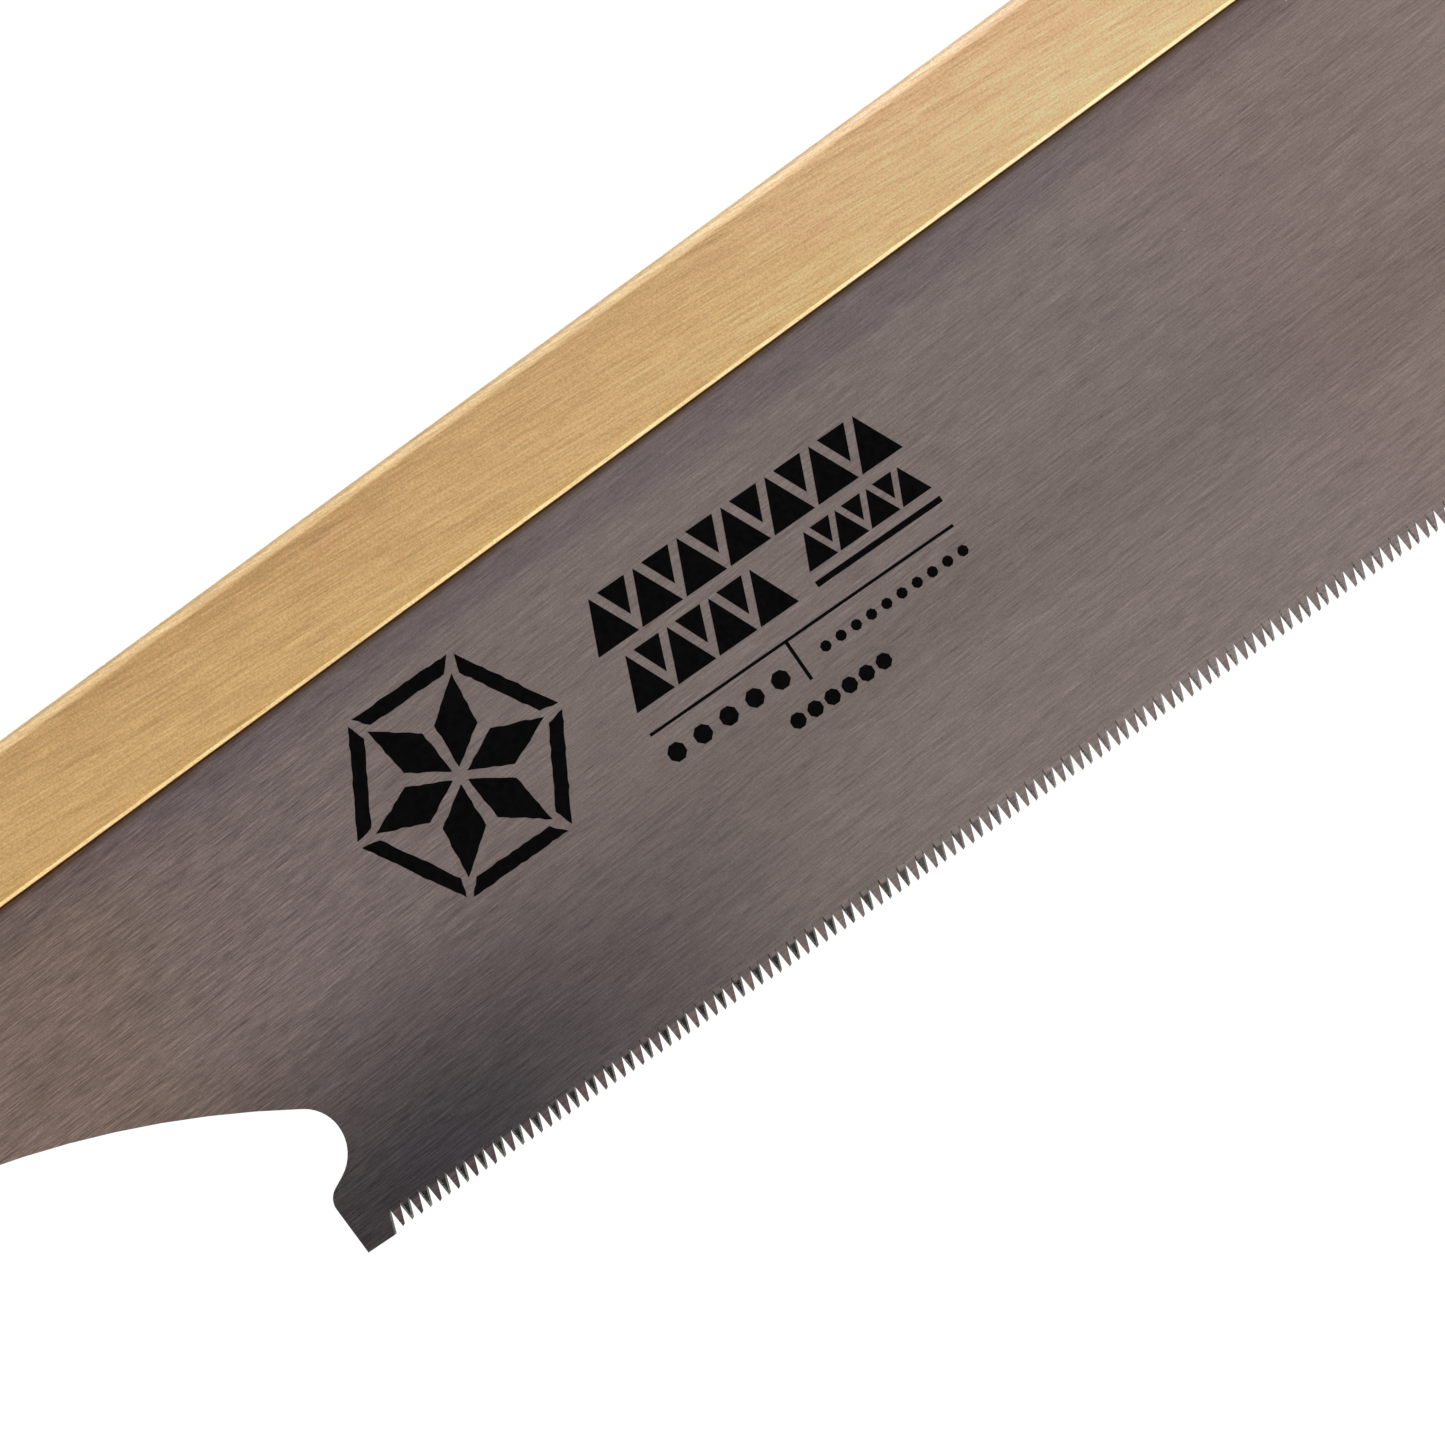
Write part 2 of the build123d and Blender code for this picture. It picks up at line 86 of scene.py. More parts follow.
# ---- node helpers ----
class Nodes:
    """A new material's node tree, with short calls to add and join nodes."""

    def __init__(self, name):
        self.material = bpy.data.materials.new(name)
        self.material.use_nodes = True
        self.tree = self.material.node_tree
        self.shader = self.tree.nodes["Principled BSDF"]

    def add(self, kind, **settings):
        node = self.tree.nodes.new(kind)
        for key, value in settings.items():
            setattr(node, key, value)
        return node

    def join(self, source, target):
        self.tree.links.new(source, target)

    def give(self, socket, value):
        """Put a number, a colour or another node's output into a socket."""
        if isinstance(value, bpy.types.NodeSocket):
            self.join(value, socket)
        elif isinstance(value, tuple):
            socket.default_value = (*value, 1)
        else:
            socket.default_value = value

    def constant(self, **values):
        """Give inputs of the shader a value that is the same all over."""
        for key, value in values.items():
            self.shader.inputs[key.replace("_", " ")].default_value = value

    def surface(self, colour, roughness):
        """Give the shader a colour and a roughness that change from place to place."""
        self.join(colour, self.shader.inputs["Base Color"])
        self.join(roughness, self.shader.inputs["Roughness"])

    def place(self, scale=(1, 1, 1), turn=0.0):
        """Object coordinates, first turned about Y so that X runs along the grain, then scaled."""
        coordinates = self.add("ShaderNodeTexCoord")
        turned = self.add("ShaderNodeMapping")
        turned.inputs["Rotation"].default_value = (0, -turn, 0)
        scaled = self.add("ShaderNodeMapping")
        scaled.inputs["Scale"].default_value = scale
        self.join(coordinates.outputs["Object"], turned.inputs["Vector"])
        self.join(turned.outputs["Vector"], scaled.inputs["Vector"])
        return scaled.outputs["Vector"]

    def part(self, vector, letter):
        """One part of a vector."""
        parts = self.add("ShaderNodeSeparateXYZ")
        self.join(vector, parts.inputs["Vector"])
        return parts.outputs[letter]

    def axis(self, letter):
        """One of the object coordinates, in metres."""
        return self.part(self.add("ShaderNodeTexCoord").outputs["Object"], letter)

    def facing(self, letter):
        """One part of the direction the bare face looks in."""
        return self.part(self.add("ShaderNodeNewGeometry").outputs["True Normal"], letter)

    def noise(self, vector, detail=2.0, roughness=0.5, scale=1.0):
        node = self.add("ShaderNodeTexNoise")
        node.inputs["Scale"].default_value = scale
        node.inputs["Detail"].default_value = detail
        node.inputs["Roughness"].default_value = roughness
        self.join(vector, node.inputs["Vector"])
        return node.outputs["Fac"]

    def ramp(self, value, stops):
        """Colours that change with a value, given as pairs of value and colour."""
        node = self.add("ShaderNodeValToRGB")
        elements = node.color_ramp.elements
        while len(elements) < len(stops):
            elements.new(0.5)
        for element, (position, colour) in zip(elements, stops):
            element.position = position
            element.color = (*colour, 1)
        self.join(value, node.inputs["Fac"])
        return node.outputs["Color"]

    def span(self, value, low, high, out_low, out_high):
        """A value carried in a straight line from one range to another."""
        node = self.add("ShaderNodeMapRange")
        settings = {"From Min": low, "From Max": high, "To Min": out_low, "To Max": out_high}
        for key, number in settings.items():
            node.inputs[key].default_value = number
        self.join(value, node.inputs["Value"])
        return node.outputs["Result"]

    def fade(self, value, start, end):
        """0 at start, rising smoothly to 1 at end."""
        node = self.add("ShaderNodeMapRange", interpolation_type="SMOOTHSTEP")
        node.inputs["From Min"].default_value = start
        node.inputs["From Max"].default_value = end
        self.join(value, node.inputs["Value"])
        return node.outputs["Result"]

    def zone(self, value, origin, start, end):
        """A fade between two places given in millimetres from an origin."""
        return self.fade(value, origin + start * MM, origin + end * MM)

    def shift(self, value, noise, reach):
        """A coordinate moved to and fro by a noise, so that what is measured along it wanders."""
        return self.maths("ADD", value, self.span(noise, 0, 1, -reach / 2, reach / 2))

    def mix(self, kind, factor, first, second):
        """Two colours mixed; among the node's sockets the colours are inputs 6 and 7, and output 2."""
        node = self.add("ShaderNodeMix", data_type="RGBA", blend_type=kind)
        for key, value in (("Factor", factor), (6, first), (7, second)):
            self.give(node.inputs[key], value)
        return node.outputs[2]

    def tint(self, colour, amount, tone):
        """A colour multiplied by a tone, as strongly as amount says."""
        return self.mix("MULTIPLY", amount, colour, tone)

    def streaks(self, colour, noise, depth, dark=(1, 1, 1), light=(1, 1, 1), amount=1.0):
        """A colour darkened and lightened by a noise; dark and light weigh the depth in each channel."""
        low = tuple(1 - depth * weight for weight in dark)
        high = tuple(1 + depth * weight for weight in light)
        return self.tint(colour, amount, self.ramp(noise, [(0.34, low), (0.66, high)]))

    def maths(self, operation, first, second=0.0):
        node = self.add("ShaderNodeMath", operation=operation)
        self.give(node.inputs[0], first)
        self.give(node.inputs[1], second)
        return node.outputs["Value"]

    def bump(self, height, strength, distance):
        node = self.add("ShaderNodeBump")
        node.inputs["Strength"].default_value = strength
        node.inputs["Distance"].default_value = distance
        self.join(height, node.inputs["Height"])
        self.join(node.outputs["Normal"], self.shader.inputs["Normal"])

    def tangent(self, turn):
        """Grinding direction for the stretched highlight."""
        node = self.add("ShaderNodeCombineXYZ")
        for socket, value in zip(node.inputs, (math.cos(turn), 0, -math.sin(turn))):
            socket.default_value = value
        self.join(node.outputs["Vector"], self.shader.inputs["Tangent"])


# ---- the plate's steel ----
def plate_stains_and_shade(m, cloud, x, z, heel):
    """Slow changes of colour over the plate, a painted dark reflection toward the heel, and painted shade
    under the back's lip.
    """
    low_and_forward = m.maths("MULTIPLY", m.zone(x, HEEL_X, 40, 75), m.zone(z, LIP_Z, -29, -37))
    height = m.axis("Z")
    colour = m.mix("MIX", cloud, (0.553, 0.455, 0.430), (0.546, 0.448, 0.432))
    stains_and_shade = (
        (m.zone(x, HEEL_X, 62, 12), (0.93, 0.905, 0.92)),      # duller and darker toward the heel: painted dark reflection
        (m.zone(x, HEEL_X, 14, -8), (1.07, 0.98, 0.87)),       # brown on the neck
        (m.zone(x, HEEL_X, 108, 128), (1.03, 0.97, 0.94)),     # reddish toward the toe
        (m.zone(z, LIP_Z, -4.7, -2.6), (0.84, 0.83, 0.87)),    # violet band along the back
        (m.zone(z, LIP_Z, -20, -29), (0.91, 0.91, 0.90)),      # darker in the lower half
        (low_and_forward, (1.15, 1.15, 1.15)),                 # lighter again near the teeth
        (heel, (0.305, 0.345, 0.40)),                          # blue-black at the heel: painted dark reflection
        (m.zone(height, LIP_Z, -0.9, 0), (0.56, 0.43, 0.27)),  # shaded close under the lip
        # painted contact shadow in the seam just under the lip
        (m.zone(height, LIP_Z, -0.13, -0.03), (0.28, 0.18, 0.11)),
    )
    for amount, tone in stains_and_shade:
        colour = m.tint(colour, amount, tone)
    return colour


def dusted(m, colour):
    """Small pale specks of dust, about 18 mm apart."""
    dust = m.add("ShaderNodeTexVoronoi")
    dust.inputs["Scale"].default_value = 55
    m.join(m.place(), dust.inputs["Vector"])
    return m.mix("MIX", m.fade(dust.outputs["Distance"], 0.006, 0.003), colour, (0.85, 0.84, 0.82))


def tooth_zone(m):
    """1 below the tooth roots, from the first tooth forward."""
    tooth_line = m.maths("ADD", m.axis("Z"), m.maths("MULTIPLY", m.axis("X"), TOOTH_LINE_SLOPE))
    first_tooth = HEEL_X + FIRST_TOOTH
    root = LIP_Z - TOOTH_ROOT_DROP + first_tooth * TOOTH_LINE_SLOPE
    below_root = m.zone(tooth_line, root, 0.05, -0.3)
    past_heel = m.zone(m.axis("X"), first_tooth, -0.3, 0.3)
    return m.maths("MULTIPLY", below_root, past_heel)


def filed_teeth(m, colour, x, on_teeth, filed):
    """Specks on the bevels, and painted shade with specks on the teeth near the heel that bend away from the
    side they are seen from.
    """
    # teeth whose faces tilt slightly downward get painted shade
    bent_away_shade = m.maths("MULTIPLY", on_teeth, m.fade(m.facing("Z"), -0.015, -0.035))
    bent_away_shade = m.maths("MULTIPLY", bent_away_shade, m.zone(x, HEEL_X, 100, 40))
    bevel = m.mix("MIX", m.zone(x, HEEL_X, 50, 100), (0.115, 0.108, 0.098), (0.27, 0.235, 0.23))
    specks = m.ramp(m.noise(m.place(even(9000)), 2.0, 0.6), [(0.40, even(0.35)), (0.62, even(2.0))])
    colour = m.mix("MIX", bent_away_shade, colour, m.tint((0.062, 0.058, 0.052), 1.0, specks))
    return m.mix("MIX", filed, colour, m.tint(bevel, 1.0, specks))


def blade_steel():
    """Ground spring steel: hair-fine lengthwise scratches, soft bands, the stains of oil and handling, a
    painted dark reflection at the heel, and painted shade under the back's lip.
    """
    m = Nodes("blade_steel")
    turn = math.radians(-1.5)
    hair = m.noise(m.place((330, 900, 12500), turn), 3.0, 0.7)
    scratch = m.noise(m.place((90, 900, 5200), turn), 2.0, 0.6)
    grit = m.noise(m.place(even(5200)), 2.0, 0.6)
    band = m.noise(m.place((16, 60, 420), turn))
    cloud = m.noise(m.place((22, 20, 70)))
    x = m.shift(m.axis("X"), cloud, 16 * MM)
    z = m.shift(m.axis("Z"), cloud, 3 * MM)
    heel = m.maths("MULTIPLY", m.zone(x, HEEL_X, 59, 8), m.zone(z, LIP_Z, -20, -42))
    on_teeth = tooth_zone(m)
    filed = m.fade(m.maths("ABSOLUTE", m.facing("Y")), 0.985, 0.96)
    colour = plate_stains_and_shade(m, cloud, x, z, heel)
    # lifts the teeth back out of the painted dark reflection at the heel
    colour = m.tint(colour, m.maths("MULTIPLY", on_teeth, heel), (1.75, 1.50, 1.40))
    for noise, depth in ((hair, 0.22), (scratch, 0.09), (grit, 0.10), (band, 0.035)):
        colour = m.streaks(colour, noise, depth)
    colour = m.streaks(colour, hair, 0.20, amount=m.zone(x, HEEL_X, 45, 0))
    colour = filed_teeth(m, dusted(m, colour), x, on_teeth, filed)
    m.surface(colour, m.mix("MIX", filed, m.span(hair, 0.25, 0.75, 0.27, 0.33), even(0.20)))
    m.constant(Metallic=1.0, Anisotropic=0.4)
    m.tangent(turn)
    m.bump(hair, 0.05, 0.01 * MM)
    return m.material


# ---- brass ----
def back_brass():
    """Brushed brass: fine dashes slightly across the back, duller toward the handle, with a painted highlight
    along the lip, painted shade where the lip meets the plate and on the dull rounding at the top.
    """
    m = Nodes("back_brass")
    turn = math.radians(5.2)
    hair = m.noise(m.place((240, 900, 10500), turn), 3.0, 0.7)
    dash = m.noise(m.place((150, 700, 5200), turn), 2.0, 0.6)
    grit = m.noise(m.place(even(4800)), 2.0, 0.6)
    band = m.noise(m.place((30, 60, 480), turn))
    cloud = m.noise(m.place((60, 30, 120)))
    x = m.shift(m.axis("X"), cloud, 14 * MM)
    z = m.axis("Z")
    shoulder = m.zone(m.shift(z, grit, 0.25 * MM), TOP_Z, -1.25, -0.75)
    colour = m.mix("MIX", m.zone(z, LIP_Z, 3, 11), (0.99, 0.662, 0.312), (0.94, 0.610, 0.300))
    zones = (
        (m.zone(x, HEEL_X, 100, 15), (0.915, 0.875, 0.80)),    # brown toward the handle
        (m.zone(x, HEEL_X, 70, 115), (1.09, 1.08, 1.20)),      # paler toward the toe
        (m.fade(cloud, 0.52, 0.70), (0.97, 0.94, 0.96)),       # faint cloudy tarnish
        (m.zone(z, TOP_Z, -3.2, -1.9), (0.93, 0.94, 0.92)),    # darker near the top
        (shoulder, (0.71, 0.84, 1.06)),                        # dull rounding at the top, dimmed and paled by painted shade against the strong top light
        (m.zone(z, LIP_Z, 1.3, 0.6), (1.00, 0.97, 0.87)),      # yellower above the lip
        (m.zone(z, LIP_Z, 0.52, 0.36), (1.01, 1.25, 1.58)),    # painted highlight along the lip
        (m.zone(z, LIP_Z, 0.12, 0.05), (0.14, 0.08, 0.04)),    # painted shade where the lip meets the plate
    )
    for amount, tone in zones:
        colour = m.tint(colour, amount, tone)
    for noise, depth in ((hair, 0.17), (dash, 0.045), (grit, 0.13), (band, 0.035)):
        colour = m.streaks(colour, noise, depth, (0.8, 1, 1.1), (0.8, 1, 1.2))
    m.surface(colour, m.mix("MIX", shoulder, m.span(hair, 0.25, 0.75, 0.40, 0.47), even(0.70)))
    m.constant(Metallic=1.0, Anisotropic=0.4)
    m.tangent(turn)
    m.bump(dash, 0.05, 0.02 * MM)
    return m.material


# ---- other materials ----
def plain_steel(name, colour, roughness):
    """Bright or plated steel: faint drawing lines, cloudy wear and slightly uneven gloss."""
    m = Nodes(name)
    lines = m.noise(m.place((220, 900, 2600)), 3.0, 0.6)
    cloud = m.noise(m.place(even(120)), 3.0)
    shade = m.tint(colour, m.fade(cloud, 0.45, 0.70), (0.86, 0.86, 0.88))
    shade = m.tint(shade, 1.0, m.ramp(lines, [(0.30, even(0.94)), (0.70, even(1.05))]))
    m.surface(shade, m.span(cloud, 0.3, 0.7, roughness - 0.04, roughness + 0.08))
    m.constant(Metallic=1.0)
    m.bump(lines, 0.08, 0.02 * MM)
    return m.material


def dark_ink():
    """Dense black ink with faint flecks."""
    m = Nodes("print_ink")
    fleck = m.noise(m.place(even(1800)), 3.0)
    colour = m.ramp(fleck, [(0.35, (0.0008, 0.0008, 0.0009)), (0.75, (0.0020, 0.0018, 0.0018))])
    m.surface(colour, m.span(fleck, 0.3, 0.7, 0.42, 0.55))
    m.constant(Specular_IOR_Level=0.03)
    return m.material


def growth_rings(m, pith):
    """Rings round a pith that lies outside the handle, slightly bent along their length."""
    bend = m.noise(m.place((5, 30, 30)))
    coordinates = m.add("ShaderNodeTexCoord")
    mapping = m.add("ShaderNodeMapping")
    mapping.inputs["Location"].default_value = (0, *pith)
    m.join(coordinates.outputs["Object"], mapping.inputs["Vector"])
    push = m.add("ShaderNodeVectorMath", operation="MULTIPLY_ADD")
    push.inputs[1].default_value = even(4 * MM)
    m.join(bend, push.inputs[0])
    m.join(mapping.outputs["Vector"], push.inputs[2])
    rings = m.add("ShaderNodeTexWave", wave_type="RINGS", rings_direction="X")
    rings.inputs["Scale"].default_value = 95
    rings.inputs["Distortion"].default_value = 0.6
    rings.inputs["Detail Scale"].default_value = 1.2
    m.join(push.outputs["Vector"], rings.inputs["Vector"])
    return rings.outputs["Fac"]


def pale_wood(name, light, dark, pith):
    """Straight-grained softwood: growth rings, fibres, hand marks, and a glue line between the halves."""
    m = Nodes(name)
    fibre = m.noise(m.place((60, 2600, 2600)), 3.0, 0.6)
    pores = m.noise(m.place((180, 5200, 5200)))
    handled = m.noise(m.place(even(38)), 3.0)
    glue_line = m.fade(m.maths("ABSOLUTE", m.axis("Y")), 0.16 * MM, 0.05 * MM)
    colour = m.ramp(growth_rings(m, pith), [(0.0, light), (0.62, light), (0.93, dark), (1.0, light)])
    colour = m.tint(colour, 0.6, m.ramp(fibre, [(0.3, (0.80, 0.77, 0.73)), (0.65, even(1.04))]))
    colour = m.tint(colour, m.fade(pores, 0.36, 0.28), (0.62, 0.54, 0.45))
    colour = m.tint(colour, m.fade(handled, 0.50, 0.72), (0.90, 0.85, 0.78))
    colour = m.tint(colour, glue_line, (0.50, 0.40, 0.30))
    m.surface(colour, m.span(fibre, 0.3, 0.7, 0.48, 0.62))
    m.bump(fibre, 0.15, 0.05 * MM)
    return m.material


def cane():
    """Split cane: glossy skin with fibres along each strip, knots and slow changes of colour."""
    m = Nodes("cane")
    strip = m.add("ShaderNodeUVMap", uv_map="strip").outputs["UV"]
    stretch = m.add("ShaderNodeMapping")
    stretch.inputs["Scale"].default_value = (1.0, 30.0, 1.0)
    m.join(strip, stretch.inputs["Vector"])
    fibre = m.noise(stretch.outputs["Vector"], 4.0, 0.65, scale=2.0)
    tone = m.noise(strip, 3.0, 0.6, scale=0.55)
    along, over = m.part(strip, "X"), m.part(strip, "Y")
    tones = [(0.32, (0.40, 0.235, 0.090)), (0.5, (0.52, 0.335, 0.145)), (0.68, (0.60, 0.42, 0.20))]
    colour = m.ramp(tone, tones)
    colour = m.tint(colour, 0.8, m.ramp(fibre, [(0.30, (0.70, 0.64, 0.54)), (0.62, even(1.08))]))
    # strip edges darkened toward the grooves between turns: painted shade
    for edge, inner in ((0.0, 0.13), (STRIP_TOP, STRIP_TOP - 0.13)):
        colour = m.tint(colour, m.fade(over, inner, edge), (0.50, 0.38, 0.26))
    knot = m.maths("PINGPONG", along, 9.3)
    colour = m.tint(colour, m.fade(knot, 0.16, 0.04), (0.62, 0.52, 0.42))
    m.surface(colour, m.span(fibre, 0.3, 0.7, 0.26, 0.40))
    m.constant(Coat_Weight=0.3, Coat_Roughness=0.2)
    m.bump(fibre, 0.35, 0.08 * MM)
    return m.material


# ---- pieces ----
def paint(node, material):
    """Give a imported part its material."""
    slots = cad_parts[node].data.materials
    slots.clear()
    slots.append(material)


def new_piece(name, vertices, faces, body, material):
    """A new mesh with its material, that rides a body."""
    mesh = bpy.data.meshes.new(name)
    mesh.from_pydata([tuple(v) for v in vertices], [], faces)
    mesh.validate()
    mesh.materials.append(material)
    piece = bpy.data.objects.new(name, mesh)
    bpy.context.scene.collection.objects.link(piece)
    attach(piece, body)
    return piece


# ---- cane wound on the grip ----
def grip_oval(x):
    """Half width and half height of the wood at x, from the boxes of the band and of the cane."""
    front = Vector((0, BAND_HIGH.y, BAND_HIGH.z))
    rear = Vector((0, CANE_HIGH.y - CANE_SKIN, CANE_HIGH.z - CANE_SKIN))
    return front.lerp(rear, (BAND_LOW.x - x) / (BAND_LOW.x - CANE_LOW.x))


def strip_section(x, angle, taper):
    """Points round the strip where it passes x: its rounded top, then two corners let into the wood."""
    oval = grip_oval(x)
    c, s = math.cos(angle), math.sin(angle)
    centre = Vector((x, oval.y * c, oval.z * s))
    outward = Vector((0, c / oval.y, s / oval.z)).normalized()
    points = []
    for j in range(CANE_PROFILE + 1):
        across = -1 + 2 * j / CANE_PROFILE
        crown = CANE_EDGE + (1 - CANE_EDGE) * math.sqrt(max(0.0, 1 - across ** 4))
        height = CANE_THICK * crown * (CANE_EDGE + (1 - CANE_EDGE) * taper)
        points.append(centre + outward * height + Vector((across * CANE_STRIP / 2 * taper, 0, 0)))
    for across in (1, -1):
        points.append(centre - outward * CANE_TUCK + Vector((across * CANE_STRIP / 2 * taper, 0, 0)))
    return points


def wound_cane(material):
    """One strip wound side by side from the front of the grip to its rear."""
    turns = (CANE_HIGH.x - CANE_LOW.x - CANE_STRIP) / CANE_PITCH
    count = int(turns * CANE_STEPS)
    vertices, faces = [], []
    for i in range(count + 1):
        turn = i / CANE_STEPS
        taper = math.sin(min(turn, turns - turn, CANE_TAPER) / CANE_TAPER * math.pi / 2)
        vertices += strip_section(CANE_HIGH.x - CANE_STRIP / 2 - CANE_PITCH * turn, 2 * math.pi * turn, taper)
    for i in range(count):
        for j in range(CANE_RING):
            a, b = i * CANE_RING + j, i * CANE_RING + (j + 1) % CANE_RING
            faces.append((a, a + CANE_RING, b + CANE_RING, b))
    faces.append(tuple(range(CANE_RING)))
    faces.append(tuple(count * CANE_RING + j for j in reversed(range(CANE_RING))))
    piece = new_piece("cane_strip", vertices, faces, "handle", material)
    layer = piece.data.uv_layers.new(name="strip")
    for loop in piece.data.loops:
        i, j = divmod(loop.vertex_index, CANE_RING)
        layer.data[loop.index].uv = (i / CANE_STEPS * 4.0, j / CANE_RING)
    for polygon in piece.data.polygons:
        polygon.use_smooth = True
    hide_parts("cane_wrap")


# ---- mark printed on the plate: a rosette and friezes of triangles, all in mm from the heel and the lip ----
def roughened(outline, chance):
    """An outline with its edges cut into short runs that waver, as a brushed stencil does."""
    run_length, reach = 0.6, 0.07
    points = []
    for (x0, z0), (x1, z1) in zip(outline, outline[1:] + outline[:1]):
        runs = max(1, round(math.hypot(x1 - x0, z1 - z0) / run_length))
        for i in range(runs):
            waver = reach if i else 0.0
            x = x0 + (x1 - x0) * i / runs + chance.uniform(-waver, waver)
            z = z0 + (z1 - z0) * i / runs + chance.uniform(-waver, waver)
            points.append((x, z))
    return points


def rosette(x, z, radius):
    """Six leaves inside a six-sided ring that is open at its corners."""
    chance = random.Random(11)
    side = math.radians(60)
    leaf = ((0.07, 0), (0.46, -0.40), (0.84, 0), (0.46, 0.40))
    edge = ((0.84, 0.075), (1.0, 0.03), (1.0, side - 0.03), (0.84, side - 0.075))
    shapes = []
    for k in range(6):
        for outline in (leaf, edge):
            shape = []
            for reach, turn in outline:
                angle = math.radians(60 * k) + turn
                shape.append((x + reach * radius * math.cos(angle), z + reach * radius * math.sin(angle)))
            shapes.append(shape)
    return [roughened(shape, chance) for shape in shapes]


def frieze(x_low, x_high, z_low, z_high, count):
    """A row of upright triangles with a smaller one hanging between each pair."""
    pitch = (x_high - x_low) / count
    half = pitch * 0.92 / 2
    small = 0.66 * half
    tip = z_low + 0.32 * (z_high - z_low)
    shapes = []
    for i in range(count):
        middle = x_low + pitch * (i + 0.5)
        shapes.append([(middle - half, z_low), (middle + half, z_low), (middle, z_high)])
        if i:
            gap = middle - pitch / 2
            shapes.append([(gap, tip), (gap + small, z_high), (gap - small, z_high)])
    return shapes


def bar(x_low, x_high, z_low, z_high):
    """One straight rule."""
    return [(x_low, z_low), (x_high, z_low), (x_high, z_high), (x_low, z_high)]


def dots(x_low, x_high, z, radius, count):
    """A row of small eight-sided dots."""
    directions = [math.radians(22.5 + 45 * k) for k in range(8)]
    shapes = []
    for i in range(count):
        x = x_low + (x_high - x_low) * i / (count - 1)
        shapes.append([(x + radius * math.cos(a), z + radius * math.sin(a)) for a in directions])
    return shapes


def on_plate(x, z, y):
    """A point of the mark, leaned and carried to its place on the plate."""
    lean = math.radians(MARK_TURN)
    pivot_x, pivot_z = MARK_PIVOT
    dx, dz = x - pivot_x, z - pivot_z
    along = pivot_x + dx * math.cos(lean) - dz * math.sin(lean)
    up = pivot_z + dx * math.sin(lean) + dz * math.cos(lean)
    return (HEEL_X + along * MM, y, LIP_Z + up * MM)


def printed(name, shapes, material):
    """Thin raised prisms of ink on the plate's face."""
    vertices, faces = [], []
    for shape in shapes:
        first, count = len(vertices), len(shape)
        for y in (PLATE_FACE_Y, PLATE_FACE_Y - INK):
            vertices += [on_plate(x, z, y) for x, z in shape]
        faces.append(tuple(first + count + i for i in range(count)))
        faces.append(tuple(first + i for i in reversed(range(count))))
        for i in range(count):
            j = (i + 1) % count
            faces.append((first + i, first + j, first + count + j, first + count + i))
    new_piece(name, vertices, faces, "blade", material)


def mark(material):
    """The whole mark: the rosette, then the friezes, rules and rows of dots beside it."""
    friezes = frieze(49.0, 83.5, -14.0, -9.0, 7)
    friezes += frieze(49.0, 67.5, -20.2, -15.2, 4)
    friezes += frieze(69.5, 83.5, -18.6, -15.2, 4)
    rules = [bar(69.5, 83.5, -20.2, -19.6), bar(49.0, 83.0, -22.7, -22.4), bar(64.0, 64.35, -26.8, -22.7)]
    rows = dots(50.2, 61.8, -25.2, 0.95, 5)
    rows += dots(67.0, 82.4, -25.0, 0.55, 10)
    rows += dots(61.0, 70.6, -29.2, 0.8, 6)
    printed("mark_rosette", rosette(32.6, -15.6, 11.2), material)
    printed("mark_friezes", friezes, material)
    printed("mark_rules", rules, material)
    printed("mark_dots", rows, material)


# ---- camera ----
def camera():
    """Nearly square on to the plate near the heel, rolled so that the back rises to the upper right."""
    target = Vector((TOE_X - 131.4 * MM, 0, LIP_Z - 25.5 * MM))
    distance = 0.6
    azimuth, elevation, roll = (math.radians(a) for a in (-2.872, 1.678, -36.333))
    level = math.cos(elevation)
    forward = Vector((-math.sin(azimuth) * level, math.cos(azimuth) * level, -math.sin(elevation)))
    right = Vector((math.cos(azimuth), math.sin(azimuth), 0))
    up = right.cross(forward)
    side = right * math.cos(roll) + up * math.sin(roll)
    top = up * math.cos(roll) - right * math.sin(roll)
    turned = Matrix((side, top, -forward)).transposed().to_4x4()
    data = bpy.data.cameras.new("camera")
    data.lens = 162.67
    data.clip_start = 0.01
    item = bpy.data.objects.new("camera", data)
    item.matrix_world = Matrix.Translation(target - forward * distance) @ turned
    bpy.context.scene.collection.objects.link(item)
    bpy.context.scene.camera = item


# ---- light and stage ----
def area(name, offset, size, power):
    """A soft box that looks at the middle of the saw from an offset."""
    centre = Vector((0.12, 0, 0))
    data = bpy.data.lights.new(name, "AREA")
    data.shape = "RECTANGLE"
    data.size, data.size_y = size
    data.energy = power
    item = bpy.data.objects.new(name, data)
    item.location = centre + Vector(offset)
    item.rotation_euler = (-Vector(offset)).to_track_quat("-Z", "Y").to_euler()
    bpy.context.scene.collection.objects.link(item)


def sky():
    """White to the camera, and dim to the saw so that its metal keeps its contrast."""
    world = bpy.data.worlds.new("studio")
    bpy.context.scene.world = world
    world.use_nodes = True
    tree = world.node_tree
    dim = tree.nodes["Background"]
    dim.inputs["Color"].default_value = (0.20, 0.195, 0.19, 1)
    white = tree.nodes.new("ShaderNodeBackground")
    white.inputs["Color"].default_value = (1, 1, 1, 1)
    white.inputs["Strength"].default_value = 1.05
    ray = tree.nodes.new("ShaderNodeLightPath")
    mix = tree.nodes.new("ShaderNodeMixShader")
    tree.links.new(ray.outputs["Is Camera Ray"], mix.inputs["Fac"])
    tree.links.new(dim.outputs["Background"], mix.inputs[1])
    tree.links.new(white.outputs["Background"], mix.inputs[2])
    tree.links.new(mix.outputs["Shader"], tree.nodes["World Output"].inputs["Surface"])


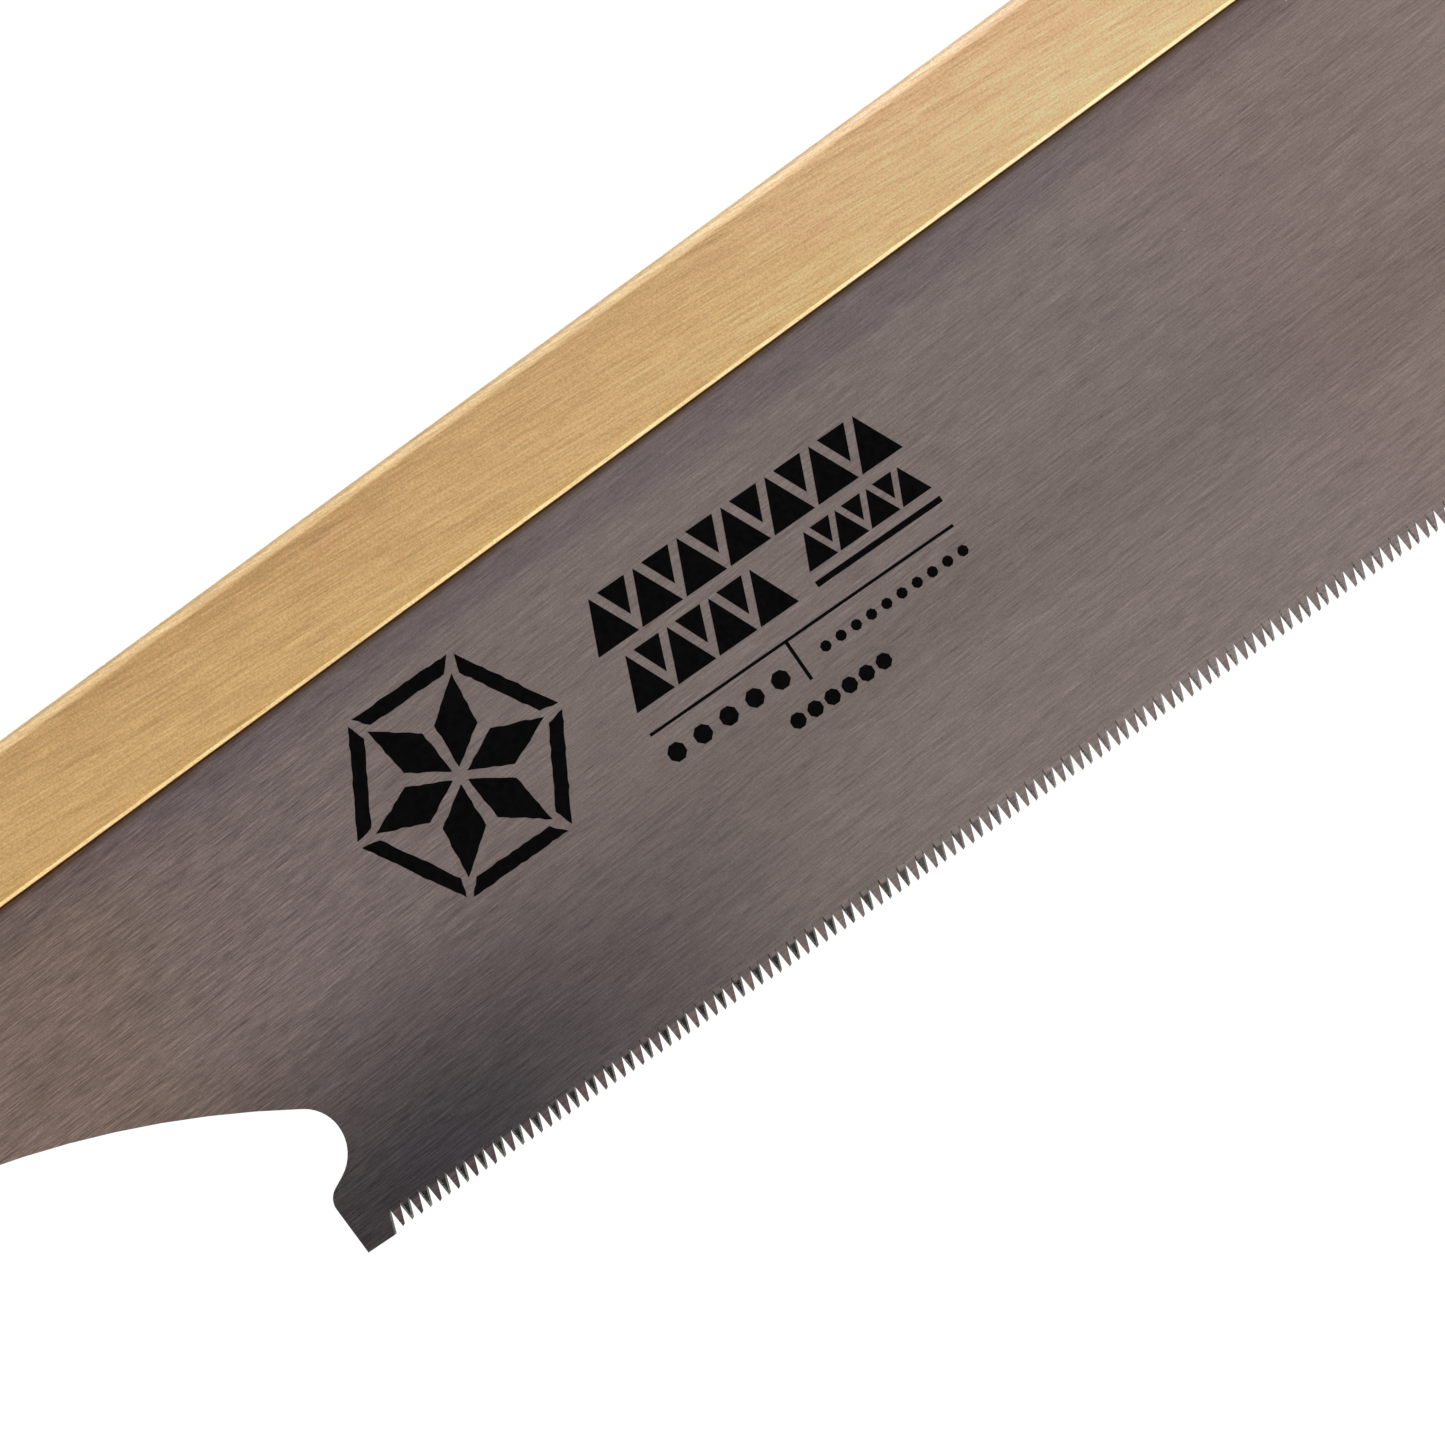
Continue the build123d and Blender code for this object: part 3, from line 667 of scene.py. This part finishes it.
def studio():
    """The sky and five soft boxes round the saw."""
    sky()
    area("top_box", (0.1, -0.35, 1.0), (1.4, 0.7), 11)
    area("left_box", (-1.0, -0.75, 0.35), (0.9, 1.1), 10.5)
    area("right_box", (1.1, -0.7, 0.3), (0.9, 1.1), 10.5)
    area("rear_box", (-1.0, 0.6, 0.3), (0.8, 1.0), 11)
    area("back_box", (0.1, 1.0, 0.45), (1.6, 0.9), 14)
    bpy.context.scene.view_settings.view_transform = "Standard"


def floor():
    """A pale floor well below the saw, lit up to white where the camera sees it."""
    m = Nodes("pale_floor")
    mottle = m.noise(m.place(even(3)))
    colour = m.ramp(mottle, [(0.3, (0.80, 0.80, 0.79)), (0.7, (0.84, 0.84, 0.83))])
    m.join(colour, m.shader.inputs["Base Color"])
    m.constant(Roughness=0.8, Emission_Color=(1, 1, 1, 1))
    seen = m.add("ShaderNodeLightPath")
    m.join(seen.outputs["Is Camera Ray"], m.shader.inputs["Emission Strength"])
    half, depth = 0.95, -0.35
    outline = [(x * half, y * half, depth) for x, y in ((-1, -1), (1, -1), (1, 1), (-1, 1))]
    mesh = bpy.data.meshes.new("floor")
    mesh.from_pydata(outline, [], [(0, 1, 2, 3)])
    mesh.materials.append(m.material)
    item = bpy.data.objects.new("floor", mesh)
    bpy.context.scene.collection.objects.link(item)


# ---- the saw's looks ----
def dress():
    """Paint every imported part, print the mark and wind the cane."""
    light, dark = (0.53, 0.39, 0.235), (0.39, 0.245, 0.118)
    brass = back_brass()
    paint("blade", blade_steel())
    for node in ("brass_back", "back_rivets", "band_nails"):
        paint(node, brass)
    for node in ("receiver", "packing_left", "packing_right", "packing_rivets", "receiver_pins", "lock_nut"):
        paint(node, plain_steel(node + "_steel", (0.48, 0.48, 0.49), 0.38))
    for node in ("lock_screw", "screw_cup"):
        paint(node, plain_steel(node + "_nickel", (0.70, 0.68, 0.64), 0.22))
    paint("spring_washer", plain_steel("washer_steel", (0.22, 0.22, 0.23), 0.35))
    paint("mouth_band", plain_steel("band_steel", (0.60, 0.60, 0.60), 0.28))
    paint("handle_left", pale_wood("wood_left", light, dark, (0.031, 0.012)))
    paint("handle_right", pale_wood("wood_right", light, dark, (-0.027, 0.019)))
    paint("handle_dowels", pale_wood("wood_dowel", (0.50, 0.35, 0.20), (0.36, 0.22, 0.11), (0.012, 0.006)))
    mark(dark_ink())
    cane_material = cane()
    paint("cane_wrap", cane_material)
    wound_cane(cane_material)


dress()
camera()
studio()
floor()
